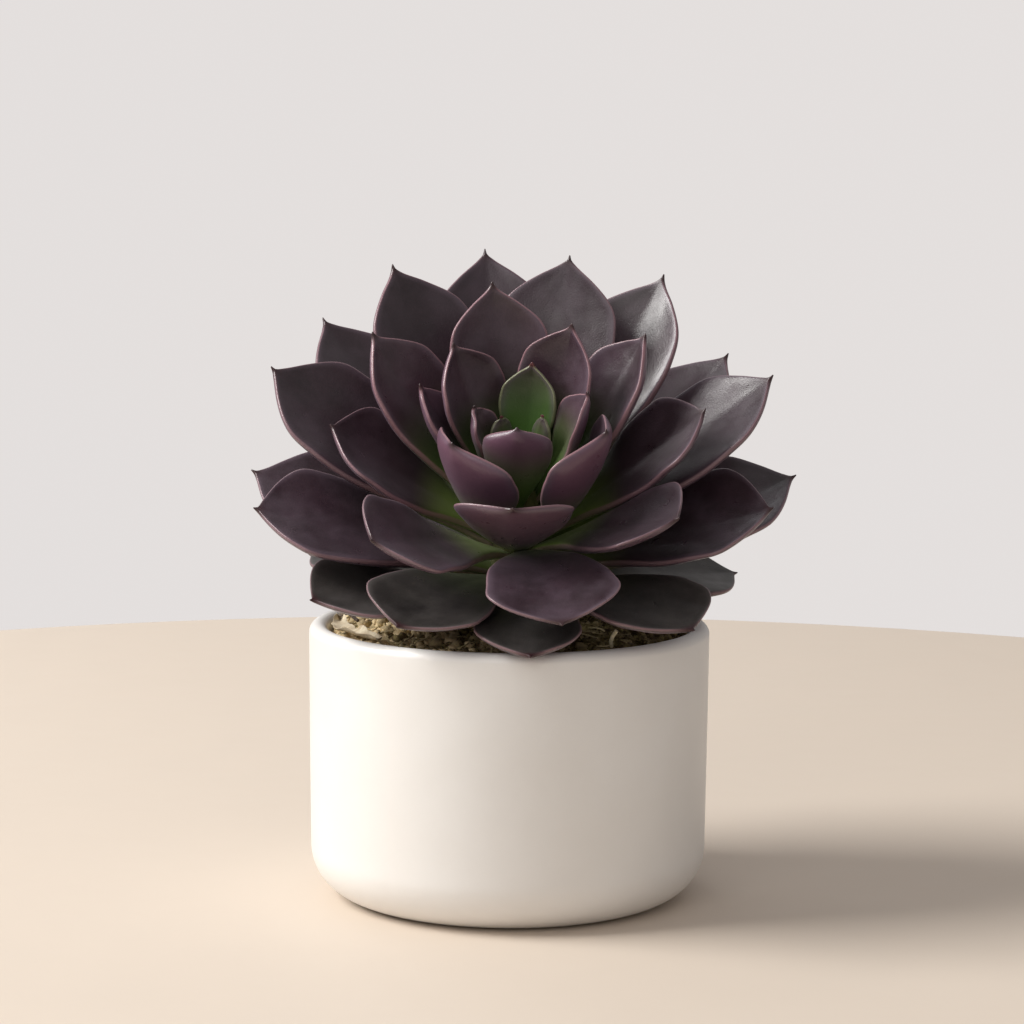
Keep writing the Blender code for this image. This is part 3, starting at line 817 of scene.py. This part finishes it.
@dataclass
class Soil:
    """Growing mix: a rugged bed, loose crumbs, and short bits of straw and root lying on it."""

    shared: SharedEffects
    rings: int = 150
    steps: int = 300
    crumbs: int = 1500
    straws: int = 420
    seed: int = 41

    def __post_init__(self) -> None:
        """Read the top of the soil's frame node."""
        points, _ = merged("soil")
        low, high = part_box("soil")
        self.radius = (high.x - low.x) / 2
        self.bottom = low.z
        self.known = points[points[:, 2] > high.z - 7.5 * MM]

    def height(self, x: Array, y: Array) -> Array:
        """Height of the bed: the frame node's top points, averaged by the inverse cube of their distance."""
        flat = np.stack([x.ravel(), y.ravel()], axis=-1)
        gap = np.linalg.norm(flat[:, None] - self.known[None, :, :2], axis=2) + 0.8 * MM
        share = gap**-3.5
        return ((share @ self.known[:, 2]) / share.sum(axis=1)).reshape(x.shape)

    def relief(self, x: Array, y: Array) -> Array:
        """Small crumbly relief: layered random values 5 mm wide, squared up so that lumps are rounder than hollows."""
        spots = np.stack([x.ravel(), y.ravel(), np.zeros(x.size)], axis=-1)
        broad = rugged(spots, 6.0 * MM, 3, 11)
        fine = rugged(spots, 1.7 * MM, 3, 23)
        return (0.9 * MM * broad + 0.75 * MM * (1 - 2 * np.abs(fine))).reshape(x.shape)

    def bed(self) -> Surface:
        """Return the closed bed: the rugged top, then straight down inside the wall to the floor."""
        share = np.linspace(0.006, 1.0, self.rings)[:, None]
        turn = np.linspace(0, 2 * math.pi, self.steps, endpoint=False)[None]
        r = self.radius * share
        x, y = r * np.cos(turn), r * np.sin(turn)
        fade = 1 - 0.6 * smooth(0.93, 1.0, share)
        z = self.height(x, y) + self.relief(x, y) * fade - 0.6 * MM
        top = np.stack([x, y, z], axis=-1)
        wall = np.stack([x[-1], y[-1], np.full(self.steps, self.bottom)], axis=-1)[None]
        whole = closed_tube(np.vstack([top, wall]), top[0].mean(axis=0), np.array([0, 0, self.bottom]))
        spots = whole.points * np.array([1, 1, 0])
        # Random tone, plus painted light that makes the bed paler at the left.
        tone = 0.44 + 0.36 * rugged(spots, 5 * MM, 3, 5) + 0.30 * self.painted_left_light(whole.points)
        whole.values = {"tone": np.clip(tone, 0, 1)}
        return whole

    def painted_left_light(self, points: Array) -> Array:
        """Painted light on the soil: how much paler and more straw-coloured the mix is drawn, most at the plant's
        front left where the light falls, least at its right.
        """
        return np.clip(-points[:, 0] / (30 * MM), -1, 1)

    def scatter(self, count: int, draft: np.random.Generator) -> Array:
        """Return random spots on the bed, even over its area."""
        r = (self.radius - 1.2 * MM) * np.sqrt(draft.uniform(0.02, 1.0, count))
        turn = draft.uniform(0, 2 * math.pi, count)
        x, y = r * np.cos(turn), r * np.sin(turn)
        return np.stack([x, y, self.height(x, y) + self.relief(x, y) - 0.6 * MM], axis=-1)

    def crumb_surface(self) -> Surface:
        """Return the crumbs: small rounded blocks, each stretched, turned and dented its own way."""
        draft = np.random.default_rng(self.seed)
        side = np.array([-1.0, 0.0, 1.0])
        block = np.array([(x, y, z) for x in side for y in side for z in side if abs(x) + abs(y) + abs(z) > 0])
        index = {tuple(p): k for k, p in enumerate(block.tolist())}
        quads = []
        for axis in range(3):
            for sign in (-1.0, 1.0):
                for a in (-1.0, 0.0):
                    for b in (-1.0, 0.0):
                        square = [(a, b), (a + 1, b), (a + 1, b + 1), (a, b + 1)]
                        square = square if sign > 0 else square[::-1]
                        quads.append([index[tuple(np.insert(np.array(pair), axis, sign) if axis != 1 else
                                                  (pair[1], sign, pair[0]))] for pair in square])
        ball = unit(block) * 0.6 + block * 0.28
        spots = self.scatter(self.crumbs, draft)
        size = draft.uniform(0.35, 1.0, self.crumbs) ** 2 * 1.35 * MM + 0.2 * MM
        stretch = size[:, None, None] * draft.uniform(0.6, 1.25, (self.crumbs, 1, 3))
        dents = 1 + draft.uniform(-0.22, 0.22, (self.crumbs, len(ball), 1))
        turns, _ = np.linalg.qr(draft.normal(size=(self.crumbs, 3, 3)))
        turns *= np.sign(np.linalg.det(turns))[:, None, None]
        points = np.einsum("nij,nkj->nki", turns, ball[None] * dents * stretch) + spots[:, None]
        # Random tone, plus painted light that makes the crumbs at the left paler.
        tone = np.clip(draft.uniform(0, 1, self.crumbs) * 0.85 + 0.34 * self.painted_left_light(spots), 0, 1)
        return repeated(points, np.array(quads), {"tone": tone})

    def straw_surface(self) -> Surface:
        """Return the straws: thin bent four-sided tubes, lying on the bed at all turns and closed by flat ends."""
        draft = np.random.default_rng(self.seed + 1)
        spots = self.scatter(self.straws, draft)
        turn = draft.uniform(0, 2 * math.pi, self.straws)[:, None]
        length = draft.uniform(2.0, 7.0, self.straws)[:, None] * MM
        t = np.linspace(-0.5, 0.5, 7)[None]
        bow = draft.uniform(-0.3, 0.3, self.straws)[:, None] * length
        x = spots[:, :1] + np.cos(turn) * length * t - np.sin(turn) * bow * (t**2 * 4 - 1)
        y = spots[:, 1:2] + np.sin(turn) * length * t + np.cos(turn) * bow * (t**2 * 4 - 1)
        reach = np.hypot(x, y)
        keep = np.minimum(1.0, (self.radius - 0.8 * MM) / reach)
        x, y = x * keep, y * keep
        rise = draft.uniform(-0.12, 0.22, self.straws)[:, None] * length * (t + 0.5)
        z = self.height(x, y) + 0.35 * MM + rise
        path = np.stack([x, y, z], axis=-1)
        ahead = unit(np.gradient(path, axis=1))
        aside = unit(np.cross(ahead, np.array([0.0, 0.0, 1.0])))
        above = np.cross(aside, ahead)
        thin = draft.uniform(0.10, 0.26, self.straws)[:, None, None, None] * MM
        taper = (1 - 0.5 * np.abs(2 * t[0]) ** 3)[None, :, None, None]
        corner = np.radians([45, 135, 225, 315])[None, None, :, None]
        rings = path[:, :, None] + thin * taper * (1.5 * np.cos(corner) * aside[:, :, None]
                                                   + 0.8 * np.sin(corner) * above[:, :, None])
        quads = [[4 * k + c, 4 * k + (c + 1) % 4, 4 * k + 4 + (c + 1) % 4, 4 * k + 4 + c]
                 for k in range(6) for c in range(4)]
        quads += [[3, 2, 1, 0], [24, 25, 26, 27]]
        # Random tone, plus painted light that makes the straws at the left paler.
        tone = np.clip(draft.uniform(0.2, 1.1, self.straws) + 0.15 * self.painted_left_light(spots), 0, 1)
        return repeated(rings.reshape(self.straws, -1, 3), np.array(quads), {"tone": tone})

    def build(self) -> None:
        """Make the bed, the crumbs and the straws."""
        ground = GroundFinish("soil_bed")
        piece = make_piece("soil_bed", self.bed(), ground.material(self.shared))
        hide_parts("soil")
        crumb = replace(ground, name="soil_crumb", scale=700.0, depth=0.25 * MM)
        make_piece("soil_crumbs", self.crumb_surface(), crumb.material(self.shared))
        straw = replace(ground, name="soil_straw", humus=(0.12, 0.08, 0.04), olive=(0.30, 0.24, 0.11),
                        straw=(0.60, 0.50, 0.30), scale=300.0, depth=0.1 * MM)
        make_piece("soil_straws", self.straw_surface(), straw.material(self.shared))


@dataclass
class Litter:
    """The papery husk against the inner wall, with the stem and the two dry stalks kept as their frame nodes."""

    shared: SharedEffects
    start: float = 178.0
    end: float = 222.0
    radius: float = 38.0 * MM
    width: float = 4.6 * MM
    curl: float = 1.5 * MM
    skin: float = 0.30 * MM
    steps: int = 72

    def husk(self) -> Surface:
        """Return the husk: a strip along an arc, curled across like a trough, with a frayed and wavy outline."""
        low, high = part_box("dry_husk")
        level = (low.z + high.z) / 2 - 0.3 * MM
        t = np.linspace(0, 1, self.steps)
        turn = np.radians(self.start + (self.end - self.start) * t)
        out = np.stack([np.cos(turn), np.sin(turn), 0 * turn], axis=-1)
        rise = np.array([0.0, 0.0, 1.0])
        fray = lattice(np.stack([t * 30, 0 * t, 0 * t], -1), 3)
        wide = self.width / 2 * (np.sin(math.pi * np.clip(t, 0.04, 0.96)) ** 0.45) * (1 + 0.16 * fray)
        a = np.linspace(0, 2 * math.pi, 28, endpoint=False)
        v, lift = -np.cos(a)[None], np.sin(a)[None]
        wave = 0.35 * MM * np.sin(2 * math.pi * 3.3 * t + 0.8)[:, None] * v**2
        trough = self.curl * v**2 * (0.6 + 0.4 * np.sin(2 * math.pi * 1.3 * t + 2))[:, None]
        across = self.radius + wide[:, None] * v
        up = level + trough + wave + self.skin / 2 * lift
        rings = across[..., None] * out[:, None] + up[..., None] * rise
        return closed_tube(rings, rings[0].mean(axis=0), rings[-1].mean(axis=0))

    def build(self) -> None:
        """Make the husk, and give the stem and the stalks their bark and straw finishes."""
        paper = DryFinish("dry_husk_paper", (0.50, 0.40, 0.27), (0.70, 0.62, 0.46), 420.0)
        piece = make_piece("papery_husk", self.husk(), paper.material(self.shared))
        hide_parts("dry_husk")
        kept = {
            "stem": DryFinish("stem_bark", (0.075, 0.085, 0.030), (0.14, 0.13, 0.055), 300.0),
            "dark_stalk": DryFinish("dark_stalk_bark", (0.030, 0.020, 0.016), (0.090, 0.065, 0.045), 900.0),
            "pale_stalk": DryFinish("pale_stalk_bark", (0.46, 0.40, 0.25), (0.66, 0.60, 0.43), 900.0),
        }
        for node, finish in kept.items():
            kind = finish.material(self.shared)
            for slot in frame["nodes"][node].material_slots:
                slot.material = kind
            frame["nodes"][node].data.polygons.foreach_set(
                "use_smooth", np.ones(len(frame["nodes"][node].data.polygons), bool))
            log.info("%s: kept, new finish", node)


# --- Stage -----------------------------------------------------------------------------------------------


@dataclass
class Studio:
    """Pale floor, soft light from the left, and a long-lens camera a little above the plant."""

    floor_colour: Colour = (0.68, 0.59, 0.50)
    floor_radius: float = 0.40
    camera_place: tuple[float, float, float] = (0.00044, -0.701, 0.1734)
    camera_tilt: float = 7.07
    camera_roll: float = 0.38
    lens: float = 111.0

    def floor(self, shared: SharedEffects) -> None:
        """Lay a round pale floor under the pot."""
        turn = np.linspace(0, 2 * math.pi, 128, endpoint=False)
        rim = self.floor_radius * np.stack([np.cos(turn), np.sin(turn), 0 * turn], axis=-1)
        mesh = bpy.data.meshes.new("floor")
        mesh.from_pydata(rim.tolist(), [], [list(range(128))])
        material, hand = new_material("pale_floor")
        soft = hand.group(shared.mottling, {"First": self.floor_colour, "Second": self.floor_colour, "Scale": 3.0})
        grain = hand.group(shared.grain, {"Coarse": 60.0, "Fine": 300.0, "Dull": 0.65, "Shiny": 0.55})
        close_material(hand, {"Base Color": soft.outputs["Colour"], "Roughness": grain.outputs["Roughness"],
                              "Specular IOR Level": 0.3}, grain.outputs["Height"], 0.01 * MM)
        mesh.materials.append(material)
        item = bpy.data.objects.new("floor", mesh)
        bpy.context.scene.collection.objects.link(item)

    def light(self, name: str, place: Vector, aim: Vector, size: float, power: float, tint: Colour) -> None:
        """Hang a square soft light that faces a point.

        Args:
            name: Name of the light.
            place: Where it hangs.
            aim: The point it faces.
            size: Edge length.
            power: Power in watts.
            tint: Colour.
        """
        data = bpy.data.lights.new(name, "AREA")
        data.shape = "SQUARE"
        data.size = size
        data.energy = power
        data.color = tint
        item = bpy.data.objects.new(name, data)
        item.location = place
        item.rotation_euler = (aim - place).to_track_quat("-Z", "Y").to_euler()
        bpy.context.scene.collection.objects.link(item)

    def room(self) -> None:
        """Set the pale surroundings, seen brighter than they light the plant."""
        world = bpy.data.worlds.new("pale_room")
        world.use_nodes = True
        hand = Tree(world.node_tree)
        seen = hand.add("LightPath").outputs["Is Camera Ray"]
        strength = hand.add("MapRange", {"Value": seen, "To Min": 0.40, "To Max": 0.86}).outputs[0]
        pale = hand.add("Background", {"Color": (0.90, 0.86, 0.845), "Strength": strength})
        hand.add("OutputWorld", {"Surface": pale.outputs[0]})
        bpy.context.scene.world = world

    def build(self, shared: SharedEffects) -> None:
        """Set the floor, the lights, the pale surroundings and the camera."""
        self.floor(shared)
        middle = Vector((0.0, 0.0, 0.08))
        self.light("window", Vector((-1.25, -0.12, 1.10)), middle, 0.9, 35.0, (1.0, 0.985, 0.96))
        self.light("front_fill", Vector((-0.5, -1.5, 0.9)), middle, 1.0, 4.5, (1.0, 0.97, 0.95))
        self.light("back_glow", Vector((-0.5, 1.1, 1.4)), middle, 0.8, 2.5, (0.95, 0.97, 1.0))
        self.room()
        camera = bpy.data.cameras.new("camera")
        camera.lens = self.lens
        camera.sensor_width = 36.0
        camera.clip_start = 0.01
        item = bpy.data.objects.new("camera", camera)
        turn = (Matrix.Rotation(math.radians(90 - self.camera_tilt), 4, "X")
                @ Matrix.Rotation(math.radians(self.camera_roll), 4, "Z"))
        item.matrix_world = Matrix.Translation(self.camera_place) @ turn
        bpy.context.scene.collection.objects.link(item)
        bpy.context.scene.camera = item


def clear_leftovers() -> None:
    """Remove objects that came with the empty file, keeping the frame."""
    ours = {item.name for item in frame["nodes"].values()} | {item.name for item in frame["bodies"].values()}
    for item in [item for item in bpy.data.objects if item.name not in ours]:
        bpy.data.objects.remove(item, do_unlink=True)


def main() -> None:
    """Build the plant, pot, soil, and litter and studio."""
    logging.basicConfig(level=logging.INFO, format="%(name)s: %(message)s")
    clear_leftovers()
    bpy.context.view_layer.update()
    bpy.context.scene.view_settings.view_transform = "Standard"
    shared = SharedEffects()
    Studio().build(shared)
    Pot(shared).build()
    Soil(shared).build()
    Litter(shared).build()
    Rosette(shared).build()


if __name__ == "__main__":
    main()
